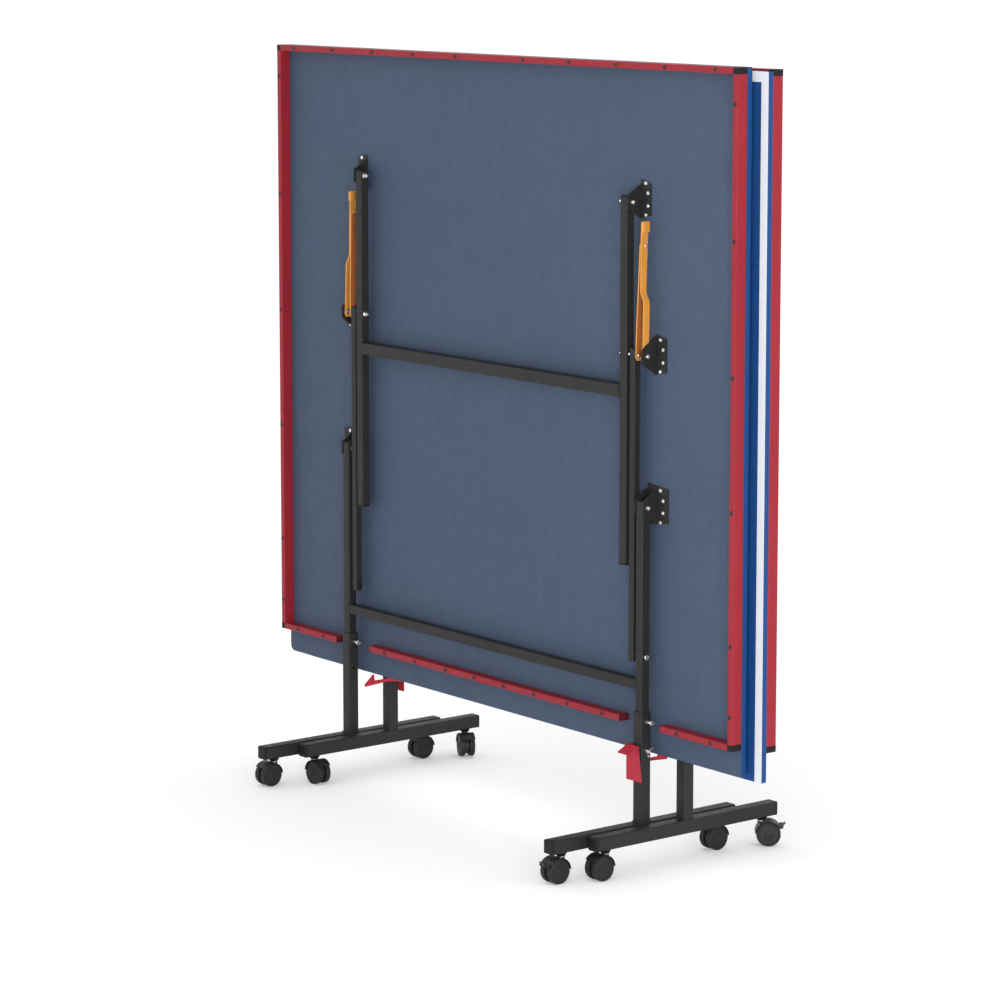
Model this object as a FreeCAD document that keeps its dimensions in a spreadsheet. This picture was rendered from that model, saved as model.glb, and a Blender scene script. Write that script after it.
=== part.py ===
import FreeCAD, Part
import Sketcher
import os
from FreeCAD import Vector, Rotation, Placement

# Folding table tennis table, stowed upright: two halves, each on its own wheeled carriage.
# Millimetres, +Z up, Z = 0 on the floor. The front half is built in place; the rear half is the
# same half turned 180 degrees about the vertical axis through the origin.
# Along the width, "inset" is measured from a board's side edge and both sides are mirrored.

os.makedirs("parts", exist_ok=True)
doc = FreeCAD.newDocument("table_tennis_table")

# ---------------------------------------------------------------- driving dimensions
sheet = doc.addObject("Spreadsheet::Sheet", "dims")
SIZES = [
    ("board_width", 1525), ("board_length", 1370), ("board_thick", 12), ("board_corner", 2.5), ("board_corner_net", 14),
    ("face_gap", 8), ("nest_shift", 37), ("net_edge_height", 225),
    ("rear_board_drop", 8), ("rear_rail_drop", 4),
    ("rail_wide", 13), ("rail_deep", 25), ("rail_wall", 1.5), ("rail_round", 1.2),
    ("rail_start", 54), ("rail_gap_near", 214), ("rail_gap_far", 336), ("plug_long", 2),
    ("rail_screw_radius", 2), ("rail_screw_head", 4), ("rail_screw_head_high", 2),
    ("screw_bite", 8), ("fit_gap", 0.05),
    ("pivot_offset", 25), ("pivot_post_height", 723), ("pivot_pitch", 300),
    ("bolt_radius", 4), ("bolt_head_radius", 7), ("bolt_head_high", 4.5), ("nut_radius", 6.5),
    ("post_inset", 266), ("post_side", 20), ("post_wall", 1.5), ("post_low", 150), ("post_over", 13),
    ("sleeve_side", 25), ("sleeve_wall", 2), ("sleeve_top", 312), ("sleeve_bolt_height", 293),
    ("latch_bolt_height", 234), ("latch_bolt_radius", 3),
    ("cross_low", 356), ("cross_side", 20),
    ("foot_bar_low", 60), ("foot_bar_side", 28), ("foot_bar_long", 480), ("foot_bar_wall", 2),
    ("foot_cap_long", 7), ("caster_reach", 207),
    ("leg_inset", 319), ("leg_side", 20), ("leg_long", 722), ("leg_over", 12), ("leg_cap", 4),
    ("leg_cross_side", 25), ("leg_cross_height", 949),
    ("rod_inset", 293.5), ("rod_side", 15), ("rod_over", 13), ("tube_wall", 1.5), ("tube_round", 2),
    ("plate_thick", 2.5), ("ear_reach", 37),
    ("stay_pitch", 212), ("stay_deep", 16), ("stay_sheet", 1.5),
    ("latch_sheet", 2), ("latch_half", 22),
    ("latch_hook_front", 18.5), ("latch_hook_rear", 10.5),
    ("wheel_radius", 25), ("wheel_wide", 11.5), ("wheel_inner", 5), ("wheel_trail", 14.5),
    ("hood_inner", 26), ("hood_outer", 27.5), ("hood_half", 17.5), ("web_half", 4),
    ("axle_radius", 3), ("stem_radius", 4),
]
VALUE = {}
for i, (alias, number) in enumerate(SIZES):
    sheet.set("A%d" % (i + 1), alias)
    sheet.set("B%d" % (i + 1), str(number))
    sheet.setAlias("B%d" % (i + 1), alias)
    VALUE[alias] = float(number)
doc.recompute()


class Size:
    """A number together with the spreadsheet expression it comes from."""

    def __init__(self, value, text):
        self.value = float(value)
        self.text = text

    def __add__(self, other):
        other = size(other)
        return Size(self.value + other.value, "(%s + %s)" % (self.text, other.text))

    def __radd__(self, other):
        return size(other) + self

    def __sub__(self, other):
        other = size(other)
        return Size(self.value - other.value, "(%s - %s)" % (self.text, other.text))

    def __rsub__(self, other):
        return size(other) - self

    def __mul__(self, number):
        return Size(self.value * number, "(%s * %s)" % (self.text, number))

    __rmul__ = __mul__

    def __truediv__(self, number):
        return Size(self.value / number, "(%s / %s)" % (self.text, number))

    def __neg__(self):
        return Size(-self.value, "(0 - %s)" % self.text)


def size(item):
    if isinstance(item, Size):
        return item
    text = "%g" % item if item >= 0 else "(0 - %g)" % -item
    return Size(item, text)


class Dims:
    def __getattr__(self, alias):
        return Size(VALUE[alias], "dims." + alias)


D = Dims()
counter = [0]


def fresh(kind):
    counter[0] += 1
    return "%s_%04d" % (kind, counter[0])


def bind(obj, prop, item):
    obj.setExpression(prop, size(item).text)


# ---------------------------------------------------------------- small builders
def box(x0, x1, y0, y1, z0, z1):
    x0, x1, y0, y1, z0, z1 = [size(k) for k in (x0, x1, y0, y1, z0, z1)]
    o = doc.addObject("Part::Box", fresh("Block"))
    bind(o, "Length", x1 - x0)
    bind(o, "Width", y1 - y0)
    bind(o, "Height", z1 - z0)
    bind(o, "Placement.Base.x", x0)
    bind(o, "Placement.Base.y", y0)
    bind(o, "Placement.Base.z", z0)
    return o


TURN = {"X": Rotation(Vector(0, 1, 0), 90), "Y": Rotation(Vector(1, 0, 0), -90), "Z": Rotation()}


def rod(axis, radius, a0, a1, c1, c2, kind="Part::Cylinder", radius2=None):
    """Cylinder along an axis from a0 to a1; c1, c2 are the other two coordinates in x, y, z order."""
    a0, a1, c1, c2 = [size(k) for k in (a0, a1, c1, c2)]
    o = doc.addObject(kind, fresh("Round"))
    if kind == "Part::Cone":
        bind(o, "Radius1", radius)
        bind(o, "Radius2", radius2)
    else:
        bind(o, "Radius", radius)
    bind(o, "Height", a1 - a0)
    o.Placement = Placement(Vector(0, 0, 0), TURN[axis])
    spots = {"X": (a0, c1, c2), "Y": (c1, a0, c2), "Z": (c1, c2, a0)}[axis]
    for letter, item in zip("xyz", spots):
        bind(o, "Placement.Base." + letter, item)
    return o


def hexagon(axis, across, a0, a1, c1, c2):
    a0, a1, c1, c2 = [size(k) for k in (a0, a1, c1, c2)]
    o = doc.addObject("Part::Prism", fresh("Hexagon"))
    o.Polygon = 6
    bind(o, "Circumradius", across)
    bind(o, "Height", a1 - a0)
    o.Placement = Placement(Vector(0, 0, 0), TURN[axis])
    spots = {"X": (a0, c1, c2), "Y": (c1, a0, c2), "Z": (c1, c2, a0)}[axis]
    for letter, item in zip("xyz", spots):
        bind(o, "Placement.Base." + letter, item)
    return o


def group(items):
    o = doc.addObject("Part::Compound", fresh("Group"))
    o.Links = items
    return o


def fuse(items):
    if len(items) == 1:
        return items[0]
    o = doc.addObject("Part::MultiFuse", fresh("Fusion"))
    o.Shapes = items
    o.Refine = True
    return o


def cut(base, tools):
    o = doc.addObject("Part::Cut", fresh("Cut"))
    o.Base = base
    o.Tool = tools[0] if len(tools) == 1 else group(tools)
    return o


def round_edges(base, direction, radius):
    """Fillet every straight edge of a block that runs along a direction."""
    doc.recompute()
    picked = []
    for number, edge in enumerate(base.Shape.Edges):
        line = edge.Vertexes[-1].Point.sub(edge.Vertexes[0].Point)
        if line.Length and abs(line.normalize().dot(direction)) > 0.999:
            picked.append((number + 1, radius, radius))
    o = doc.addObject("Part::Fillet", fresh("Soft"))
    o.Base = base
    o.Edges = picked
    return o


AXIS = {"X": Vector(1, 0, 0), "Y": Vector(0, 1, 0), "Z": Vector(0, 0, 1)}


def tube(axis, x0, x1, y0, y1, z0, z1, wall, radius):
    """Square tube, open at both ends, with rounded long edges."""
    x0, x1, y0, y1, z0, z1 = [size(k) for k in (x0, x1, y0, y1, z0, z1)]
    outer = round_edges(box(x0, x1, y0, y1, z0, z1), AXIS[axis], radius)
    lows = [x0 + wall, y0 + wall, z0 + wall]
    highs = [x1 - wall, y1 - wall, z1 - wall]
    k = "XYZ".index(axis)
    lows[k] = (x0, y0, z0)[k] - 1
    highs[k] = (x1, y1, z1)[k] + 1
    inner = box(lows[0], highs[0], lows[1], highs[1], lows[2], highs[2])
    return cut(outer, [inner])


def plane_of(body, role):
    for feature in body.Origin.OriginFeatures:
        if feature.Role == role:
            return feature
    raise RuntimeError("origin plane missing: " + role)


def profile(body, role, offset, points, holes=()):
    """Closed polygon sketch with every corner tied to the sheet, plus round holes."""
    sketch = body.newObject("Sketcher::SketchObject", fresh("Outline"))
    sketch.AttachmentSupport = [(plane_of(body, role), "")]
    sketch.MapMode = "FlatFace"
    bind(sketch, "AttachmentOffset.Base.z", offset)
    points = [(size(u), size(v)) for u, v in points]
    count = len(points)
    for i in range(count):
        a, b = points[i], points[(i + 1) % count]
        sketch.addGeometry(Part.LineSegment(Vector(a[0].value, a[1].value, 0), Vector(b[0].value, b[1].value, 0)), False)
    for i in range(count):
        sketch.addConstraint(Sketcher.Constraint("Coincident", i, 2, (i + 1) % count, 1))
    for i in range(count):
        for kind, item in (("DistanceX", points[i][0]), ("DistanceY", points[i][1])):
            number = sketch.addConstraint(Sketcher.Constraint(kind, -1, 1, i, 1, item.value))
            sketch.setExpression("Constraints[%d]" % number, item.text)
    for u, v, radius in holes:
        u, v, radius = size(u), size(v), size(radius)
        g = sketch.addGeometry(Part.Circle(Vector(u.value, v.value, 0), Vector(0, 0, 1), radius.value), False)
        for kind, item in (("DistanceX", u), ("DistanceY", v)):
            number = sketch.addConstraint(Sketcher.Constraint(kind, -1, 1, g, 3, item.value))
            sketch.setExpression("Constraints[%d]" % number, item.text)
        number = sketch.addConstraint(Sketcher.Constraint("Radius", g, radius.value))
        sketch.setExpression("Constraints[%d]" % number, radius.text)
    return sketch


def plate_x(points, x0, x1, holes=()):
    """Body padded along X from a (y, z) outline."""
    x0, x1 = size(x0), size(x1)
    body = doc.addObject("PartDesign::Body", fresh("Plate"))
    sketch = profile(body, "YZ_Plane", x0, points, holes)
    pad = body.newObject("PartDesign::Pad", fresh("Pad"))
    pad.Profile = sketch
    bind(pad, "Length", x1 - x0)
    body.Tip = pad
    return body


def plate_y(points, y0, y1, holes=()):
    """Body padded along Y from an (x, z) outline; the XZ plane faces -Y."""
    y0, y1 = size(y0), size(y1)
    body = doc.addObject("PartDesign::Body", fresh("Plate"))
    sketch = profile(body, "XZ_Plane", -y1, points, holes)
    pad = body.newObject("PartDesign::Pad", fresh("Pad"))
    pad.Profile = sketch
    bind(pad, "Length", y1 - y0)
    body.Tip = pad
    return body


NODES = []


def keep(obj, label, rear=False):
    """Name a finished sub-part and put it in place."""
    where = Placement()
    if rear:
        where = Placement(Vector(0, 0, 0), Rotation(Vector(0, 0, 1), 180)).multiply(where)
    obj.Placement = where
    obj.Label = label
    NODES.append(obj)
    return obj


# ---------------------------------------------------------------- one half of the table
def half(prefix, rear):
    drop = D.rear_board_drop if rear else size(0)
    rail_drop = D.rear_rail_drop if rear else size(0)
    left = -(D.board_width + D.nest_shift) / 2
    right = (D.board_width - D.nest_shift) / 2
    face = -(D.face_gap / 2)
    under = face - D.board_thick
    pivot = under - D.pivot_offset
    low = D.net_edge_height - drop
    top = D.net_edge_height + D.board_length - drop
    rlow = D.net_edge_height + D.rail_start - rail_drop
    rtop = D.net_edge_height + D.board_length - rail_drop
    pin_post = D.pivot_post_height
    pin_stay = D.pivot_post_height + D.pivot_pitch
    pin_leg = D.pivot_post_height + D.pivot_pitch * 2
    pin_rod = D.pivot_post_height - D.pivot_pitch

    def at(side, inset):
        return left + inset if side == "L" else right - inset

    def span(side, near, far):
        """x limits of a strip between two insets on one side"""
        return (left + near, left + far) if side == "L" else (right - far, right - near)

    def pick(side, near, far, maker):
        x0, x1 = span(side, near, far)
        return maker(x0, x1)

    SIDES = ("L", "R")

    # ---- rails: end rail, two side rails, three net rail pieces
    rail_front = under - D.rail_deep
    rail_rows = []
    rails = [tube("X", left + D.rail_wide, right - D.rail_wide, rail_front, under, rtop - D.rail_wide, rtop,
                  D.rail_wall, VALUE["rail_round"])]
    caps = []
    for side in SIDES:
        x0, x1 = span(side, size(0), D.rail_wide)
        rails.append(tube("Z", x0, x1, rail_front, under, rlow + D.rail_wide, rtop - D.rail_wide,
                          D.rail_wall, VALUE["rail_round"]))
        for z0 in (rlow, rtop - D.rail_wide):
            corner = box(x0, x1, rail_front, under, z0, z0 + D.rail_wide)
            caps.append(round_edges(corner, AXIS["Y"], VALUE["rail_round"]))
        x0, x1 = span(side, D.rail_wide, D.rail_gap_near - D.plug_long)
        rails.append(tube("X", x0, x1, rail_front, under, rlow, rlow + D.rail_wide, D.rail_wall, VALUE["rail_round"]))
        for near, far in ((D.rail_gap_near - D.plug_long, D.rail_gap_near), (D.rail_gap_far, D.rail_gap_far + D.plug_long)):
            x0, x1 = span(side, near, far)
            caps.append(round_edges(box(x0, x1, rail_front, under, rlow, rlow + D.rail_wide), AXIS["X"], VALUE["rail_round"]))
    inner = D.rail_gap_far + D.plug_long
    rails.append(tube("X", left + inner, right - inner, rail_front, under, rlow, rlow + D.rail_wide,
                      D.rail_wall, VALUE["rail_round"]))
    mid = D.rail_wide / 2
    spots = []
    for side in SIDES:
        for inset in (62, 162, 392, 502, 612, 712):
            spots.append((at(side, size(inset)), rlow + mid))
        for inset in (64, 210, 356, 502, 650):
            spots.append((at(side, size(inset)), rtop - mid))
        for down in (70, 330, 590, 850, 1110, 1250):
            spots.append((at(side, mid), rtop - down))
    screws, rail_holes, board_holes = [], [], []
    for x, z in spots:
        shank = rod("Y", D.rail_screw_radius, rail_front, under + D.screw_bite, x, z)
        head = rod("Y", D.rail_screw_head, rail_front - D.rail_screw_head_high, rail_front, x, z)
        screws.append(fuse([head, shank]))
        hole = D.rail_screw_radius + D.fit_gap
        rail_holes.append(rod("Y", hole, rail_front - 1, under + 1, x, z))
        board_holes.append(rod("Y", hole, under - 1, under + D.screw_bite, x, z))
    keep(cut(group(rails), rail_holes), prefix + "rails", rear)
    keep(group(caps), prefix + "rail_caps", rear)
    keep(group(screws), prefix + "rail_screws", rear)

    # ---- brackets on the underside of the board
    skin = under - D.plate_thick
    reach = pivot - 12
    hole = D.bolt_radius + D.fit_gap
    leg_plates, stay_plates, post_plates, wood_screws = [], [], [], []
    screw_holes = []

    def fixing(side, inset, z, lift=0):
        x = at(side, size(inset))
        radius = D.rail_screw_radius
        head = rod("Y", D.rail_screw_head + 0.5, skin - 2.2, skin, x, z)
        shank = rod("Y", radius, skin, under + D.screw_bite, x, z)
        wood_screws.append(fuse([head, shank]))
        board_holes.append(rod("Y", radius + D.fit_gap, under - 1, under + D.screw_bite, x, z))
        screw_holes.append((x, z, radius + D.fit_gap))
        return (x, z, radius + D.fit_gap)

    def ear(side, near, far, z, half_root, half_tip):
        x0, x1 = span(side, size(near), size(far))
        outline = [(under, z - half_root), (under, z + half_root), (skin, z + half_root),
                   (reach + 4, z + half_tip), (reach, z + half_tip - 4),
                   (reach, z - half_tip + 4), (reach + 4, z - half_tip), (skin, z - half_root)]
        return plate_x(outline, x0, x1, [(pivot, z, hole)])

    def flange(side, near, far, z, half_root, half_out, taper_far, holes):
        """Flat plate on the board; the edge away from the ear is shorter."""
        x0, x1 = at(side, size(near)), at(side, size(far))
        outline = [(x0, z - half_out), (x1, z - half_root), (x1, z + half_root), (x0, z + half_out)]
        if side == "R":
            outline.reverse()
        outline.reverse()
        return plate_y(outline, skin, under, holes)

    for side in SIDES:
        holes = [fixing(side, 289, pin_leg + 36), fixing(side, 283, pin_leg + 17),
                 fixing(side, 283, pin_leg - 8), fixing(side, 289, pin_leg - 26)]
        leg_plates.append(fuse([flange(side, 275, 305, pin_leg + 5, 38.5, 31, True, holes),
                                ear(side, 304, 306.5, pin_leg, 33.5, 16)]))
        holes = [fixing(side, 243, pin_stay + 32), fixing(side, 235, pin_stay + 13),
                 fixing(side, 235, pin_stay - 12), fixing(side, 243, pin_stay - 30.5)]
        stay_plates.append(fuse([flange(side, 226, 258.5, pin_stay + 2, 40, 33, True, holes),
                                 ear(side, 257.5, 260, pin_stay, 38, 16)]))
        holes = [fixing(side, 240, pin_post + 33.6), fixing(side, 232, pin_post + 14),
                 fixing(side, 232, pin_post - 10), fixing(side, 240, pin_post - 30)]
        post_plates.append(fuse([flange(side, 218, 279, pin_post + 4, 41, 34, True, holes),
                                 ear(side, 253, 255.5, pin_post, 36, 16),
                                 ear(side, 276.5, 279, pin_post, 36, 16)]))
    keep(group(leg_plates), prefix + "leg_brackets", rear)
    keep(group(stay_plates), prefix + "stay_brackets", rear)
    keep(group(post_plates), prefix + "post_brackets", rear)
    keep(group(wood_screws), prefix + "bracket_screws", rear)

    # ---- board
    board = doc.addObject("PartDesign::Body", fresh("Board"))
    outline = profile(board, "XZ_Plane", -face, [(left, low), (right, low), (right, top), (left, top)])
    pad = board.newObject("PartDesign::Pad", fresh("Pad"))
    pad.Profile = outline
    bind(pad, "Length", D.board_thick)
    board.Tip = pad
    doc.recompute()
    # only the net-end corner on the far left of each stowed board is well rounded, the others are just eased
    rounded_x = VALUE["board_width"] if rear else 0
    plain, rounded = [], []
    for number, edge in enumerate(pad.Shape.Edges):
        line = edge.Vertexes[-1].Point.sub(edge.Vertexes[0].Point)
        if line.Length and abs(line.normalize().dot(AXIS["Y"])) > 0.999:
            spot = edge.Vertexes[0].Point
            is_net = abs(spot.z - low.value) < 1
            is_side = abs(spot.x - left.value - rounded_x) < 1
            (rounded if is_net and is_side else plain).append("Edge%d" % (number + 1))
    soft = board.newObject("PartDesign::Fillet", fresh("Soft"))
    soft.Base = (pad, plain)
    bind(soft, "Radius", D.board_corner)
    doc.recompute()
    last = []
    for number, edge in enumerate(soft.Shape.Edges):
        line = edge.Vertexes[-1].Point.sub(edge.Vertexes[0].Point)
        if line.Length > 1 and abs(line.normalize().dot(AXIS["Y"])) > 0.999:
            spot = edge.Vertexes[0].Point
            if abs(spot.z - low.value) < 0.1 and abs(spot.x - left.value - rounded_x) < 0.1:
                last.append("Edge%d" % (number + 1))
    big = board.newObject("PartDesign::Fillet", fresh("Soft"))
    big.Base = (soft, last)
    bind(big, "Radius", D.board_corner_net)
    board.Tip = big
    keep(cut(board, board_holes), prefix + "tabletop", rear)

    # ---- bolts that belong to the board: post pivot, leg pivot, stay pivot
    bolts = []
    for side in SIDES:
        out = -1 if side == "L" else 1

        def pin(near, far, z, pieces):
            x0, x1 = span(side, size(near), size(far))
            items = [rod("X", D.bolt_radius, x0, x1, pivot, z)]
            for kind, a, b in pieces:
                p0, p1 = span(side, size(a), size(b))
                if kind == "head":
                    items.append(rod("X", D.bolt_head_radius, p0, p1, pivot, z))
                elif kind == "nut":
                    items.append(hexagon("X", D.nut_radius, p0, p1, pivot, z))
                else:
                    items.append(rod("X", D.nut_radius, p0, p1, pivot, z))
            return fuse(items)

        bolts.append(pin(248, 283, pin_post, [("head", 248, 253), ("nut", 279, 283)]))
        bolts.append(pin(299, 343, pin_leg, [("nut", 299, 304), ("ring", 306.5, 308.8), ("head", 329.2, 332)]))
        bolts.append(pin(254, 267, pin_stay, [("nut", 254.5, 257.5), ("ring", 260, 263)]))
    keep(group(bolts), prefix + "board_bolts", rear)

    # ---- carriage: posts and crossbar, sleeves, foot bars
    half_post = D.post_side / 2
    post_hole = D.bolt_radius + D.fit_gap
    posts, sleeves, bars, bar_caps = [], [], [], []
    for side in SIDES:
        x = at(side, D.post_inset)
        tall = tube("Z", x - half_post, x + half_post, pivot - half_post, pivot + half_post,
                    D.post_low, pin_post + D.post_over, D.post_wall, VALUE["tube_round"])
        drill = [rod("X", post_hole, x - 20, x + 20, pivot, pin_post),
                 rod("X", post_hole, x - 20, x + 20, pivot, pin_rod),
                 rod("X", D.latch_bolt_radius + D.fit_gap, x - 20, x + 20, pivot, D.sleeve_bolt_height),
                 rod("X", D.latch_bolt_radius + D.fit_gap, x - 20, x + 20, pivot, D.latch_bolt_height)]
        posts.append(cut(tall, drill))
        hs = D.sleeve_side / 2
        sleeve = tube("Z", x - hs, x + hs, pivot - hs, pivot + hs, D.foot_bar_low + D.foot_bar_side, D.sleeve_top,
                      D.sleeve_wall, VALUE["tube_round"])
        drill = [rod("X", D.latch_bolt_radius + D.fit_gap, x - 20, x + 20, pivot, D.sleeve_bolt_height),
                 rod("X", D.latch_bolt_radius + D.fit_gap, x - 20, x + 20, pivot, D.latch_bolt_height)]
        sleeves.append(cut(sleeve, drill))
        hb = D.foot_bar_side / 2
        y0, y1 = pivot - D.foot_bar_long / 2, pivot + D.foot_bar_long / 2
        bar = tube("Y", x - hb, x + hb, y0 + D.foot_cap_long, y1 - D.foot_cap_long,
                   D.foot_bar_low, D.foot_bar_low + D.foot_bar_side, D.foot_bar_wall, 3)
        drill = [rod("Z", D.stem_radius + D.fit_gap, D.foot_bar_low - 5, D.foot_bar_low + 6, x, pivot + reach_y)
                 for reach_y in (-D.caster_reach, D.caster_reach)]
        bars.append(cut(bar, drill))
        for sign in (-1, 1):
            a = y0 if sign < 0 else y1 - D.foot_cap_long
            blank = box(x - hb, x + hb, a, a + D.foot_cap_long, D.foot_bar_low, D.foot_bar_low + D.foot_bar_side)
            doc.recompute()
            edges = []
            for number, edge in enumerate(blank.Shape.Edges):
                ends = [v.Point.y for v in edge.Vertexes]
                outer = y0.value if sign < 0 else y1.value
                if abs(ends[0] - ends[-1]) > 1:
                    edges.append((number + 1, 3.0, 3.0))
                elif abs(ends[0] - outer) < 0.01:
                    edges.append((number + 1, 2.9, 2.9))
            soft_cap = doc.addObject("Part::Fillet", fresh("Soft"))
            soft_cap.Base = blank
            soft_cap.Edges = edges
            bar_caps.append(soft_cap)
            stem_y = pivot + D.caster_reach * sign
            socket = rod("Z", 9, D.foot_bar_low - 7, D.foot_bar_low, x, stem_y, "Part::Cone", 12.5)
            bar_caps.append(cut(socket, [rod("Z", D.stem_radius + D.fit_gap, D.foot_bar_low - 8, D.foot_bar_low + 1, x, stem_y)]))
    hc = D.cross_side / 2
    posts.append(tube("X", left + D.post_inset + half_post, right - D.post_inset - half_post,
                      pivot - hc, pivot + hc, D.cross_low, D.cross_low + D.cross_side, D.post_wall, VALUE["tube_round"]))
    keep(group(posts), prefix + "upper_frame", rear)
    keep(group(sleeves), prefix + "lower_posts", rear)
    keep(group(bars), prefix + "foot_bars", rear)
    keep(group(bar_caps), prefix + "foot_bar_fittings", rear)

    # ---- carriage bolts: sleeve clamp, latch pivot with wing nut, rod pivot
    pins = []
    hs = D.sleeve_side / 2
    for side in SIDES:
        x = at(side, D.post_inset)
        radius = D.latch_bolt_radius
        z = D.sleeve_bolt_height
        pins.append(fuse([rod("X", radius + 0.6, x + hs, x + hs + 19, pivot, z),
                          rod("X", radius, x - hs - 4, x + hs + 2, pivot, z),
                          rod("X", 5, x + hs + 17, x + hs + 20, pivot, z),
                          hexagon("X", 6, x - hs - 5, x - hs, pivot, z)]))
        if side == "R":
            z = D.latch_bolt_height
            cheek = D.latch_half
            pins.append(fuse([rod("X", radius, x - cheek - 4, x + hs + 16, pivot, z),
                              rod("X", 6.5, x - cheek - 3.5, x - cheek - 0.5, pivot, z),
                              rod("X", 6, x + hs, x + hs + 7, pivot, z),
                              box(x + hs + 2, x + hs + 5, pivot - 13, pivot + 13, z - 4.5, z + 4.5)]))
        z = pin_rod
        x0, x1 = span(side, size(250), size(308))
        items = [rod("X", D.bolt_radius, x0, x1, pivot, z)]
        for near, far, radius in ((250, 256, D.bolt_head_radius), (276, 285.5, D.nut_radius), (301.5, 306.5, D.nut_radius)):
            x0, x1 = span(side, size(near), size(far))
            items.append(rod("X", radius, x0, x1, pivot, z))
        pins.append(fuse(items))
    keep(group(pins), prefix + "carriage_bolts", rear)

    # ---- legs
    legs, leg_caps, rods, leg_pins = [], [], [], []
    hl = D.leg_side / 2
    leg_low = pin_leg - D.leg_long
    for side in SIDES:
        x = at(side, D.leg_inset)
        stick = tube("Z", x - hl, x + hl, pivot - hl, pivot + hl, leg_low + D.leg_cap,
                     pin_leg + D.leg_over - D.leg_cap, D.tube_wall, VALUE["tube_round"])
        legs.append(cut(stick, [rod("X", hole, x - 20, x + 20, pivot, pin_leg),
                                rod("X", hole, x - 20, x + 20, pivot, pin_stay)]))
        for z0 in (leg_low, pin_leg + D.leg_over - D.leg_cap):
            blank = box(x - hl, x + hl, pivot - hl, pivot + hl, z0, z0 + D.leg_cap)
            leg_caps.append(round_edges(blank, AXIS["Z"], VALUE["tube_round"]))
        xr = at(side, D.rod_inset)
        hr = D.rod_side / 2
        bar = tube("Z", xr - hr, xr + hr, pivot - hr, pivot + hr, pin_rod - D.rod_over, pin_stay + D.rod_over,
                   D.tube_wall, 1.5)
        rods.append(cut(bar, [rod("X", hole, xr - 20, xr + 20, pivot, pin_rod),
                              rod("X", hole, xr - 20, xr + 20, pivot, pin_stay)]))
        x0, x1 = span(side, size(269), size(340))
        items = [rod("X", D.bolt_radius, x0, x1, pivot, pin_stay)]
        for near, far, radius in ((277, 285.5, D.nut_radius), (301.5, 309, D.nut_radius), (329, 334, D.bolt_head_radius)):
            x0, x1 = span(side, size(near), size(far))
            items.append(rod("X", radius, x0, x1, pivot, pin_stay))
        leg_pins.append(fuse(items))
    hx = D.leg_cross_side / 2
    legs.append(tube("X", left + D.leg_inset + hl, right - D.leg_inset - hl, pivot - hx, pivot + hx,
                     D.leg_cross_height - hx, D.leg_cross_height + hx, D.tube_wall, VALUE["tube_round"]))
    keep(group(legs), prefix + "leg_frame", rear)
    keep(group(leg_caps), prefix + "leg_plugs", rear)
    keep(group(rods), prefix + "link_rods", rear)
    keep(group(leg_pins), prefix + "leg_bolts", rear)

    # ---- folding stays: two facing channels, upper link on the board, lower link on the leg bolt
    uppers, lowers = [], []
    knee = pin_stay + D.stay_pitch
    hd = D.stay_deep / 2
    sheetw = D.stay_sheet
    for side in SIDES:
        def web_outline(bottom, top_z, head):
            return [(pivot - hd, bottom + 5), (pivot - hd + 5, bottom), (pivot + hd - 5, bottom), (pivot + hd, bottom + 5),
                    (pivot + hd, knee - 112), (pivot + hd + 2.5, knee - 106), (pivot + hd + 2.5, knee - 96), (pivot + hd, knee - 90),
                    (pivot + hd, top_z - 4), (pivot + hd - 4, top_z), (pivot - hd + 4, top_z), (pivot - hd, top_z - 4),
                    (pivot - hd, knee - 90), (pivot - hd - 2.5, knee - 96), (pivot - hd - 2.5, knee - 106), (pivot - hd, knee - 112)]

        # upper link: web outboard, flanges turned inboard, grip above the knee
        x0, x1 = span(side, size(264), size(265.5))
        web = plate_x(web_outline(pin_stay - 12, knee + 12, True), x0, x1, [(pivot, pin_stay, hole)])
        x0, x1 = span(side, size(264), size(268.5))
        lips = [box(x0, x1, pivot - hd, pivot - hd + sheetw, pin_stay + 9, knee - 114),
                box(x0, x1, pivot + hd - sheetw, pivot + hd, pin_stay + 9, knee - 114),
                box(x0, x1, pivot - hd, pivot - hd + sheetw, knee - 88, knee + 7),
                box(x0, x1, pivot + hd - sheetw, pivot + hd, knee - 88, knee + 7)]
        n0, n1 = span(side, size(264), size(267))
        neck = box(n0, n1, pivot - 5, pivot + 5, knee + 8, knee + 30)
        g0, g1 = span(side, size(261.5), size(268.5))
        grip = round_edges(box(g0, g1, pivot - 8, pivot + 8, knee + 28, knee + 50), AXIS["X"], 4)
        r0, r1 = span(side, size(262), size(264))
        rivet = rod("X", 5, r0, r1, pivot, knee)
        uppers.append(fuse([web] + lips + [neck, grip, rivet]))
        # lower link: web inboard, flanges turned outboard
        x0, x1 = span(side, size(273), size(274.5))
        web = plate_x(web_outline(pin_stay - 12, knee + 12, False), x0, x1, [(pivot, pin_stay, hole)])
        x0, x1 = span(side, size(269.5), size(274.5))
        lips = [box(x0, x1, pivot - hd, pivot - hd + sheetw, pin_stay + 9, knee - 114),
                box(x0, x1, pivot + hd - sheetw, pivot + hd, pin_stay + 9, knee - 114),
                box(x0, x1, pivot - hd, pivot - hd + sheetw, knee - 88, knee + 7),
                box(x0, x1, pivot + hd - sheetw, pivot + hd, knee - 88, knee + 7)]
        r0, r1 = span(side, size(274.5), size(276.5))
        rivet = rod("X", 5, r0, r1, pivot, knee)
        lowers.append(fuse([web] + lips + [rivet]))
    keep(group(uppers), prefix + "stay_upper_links", rear)
    keep(group(lowers), prefix + "stay_lower_links", rear)

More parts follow.
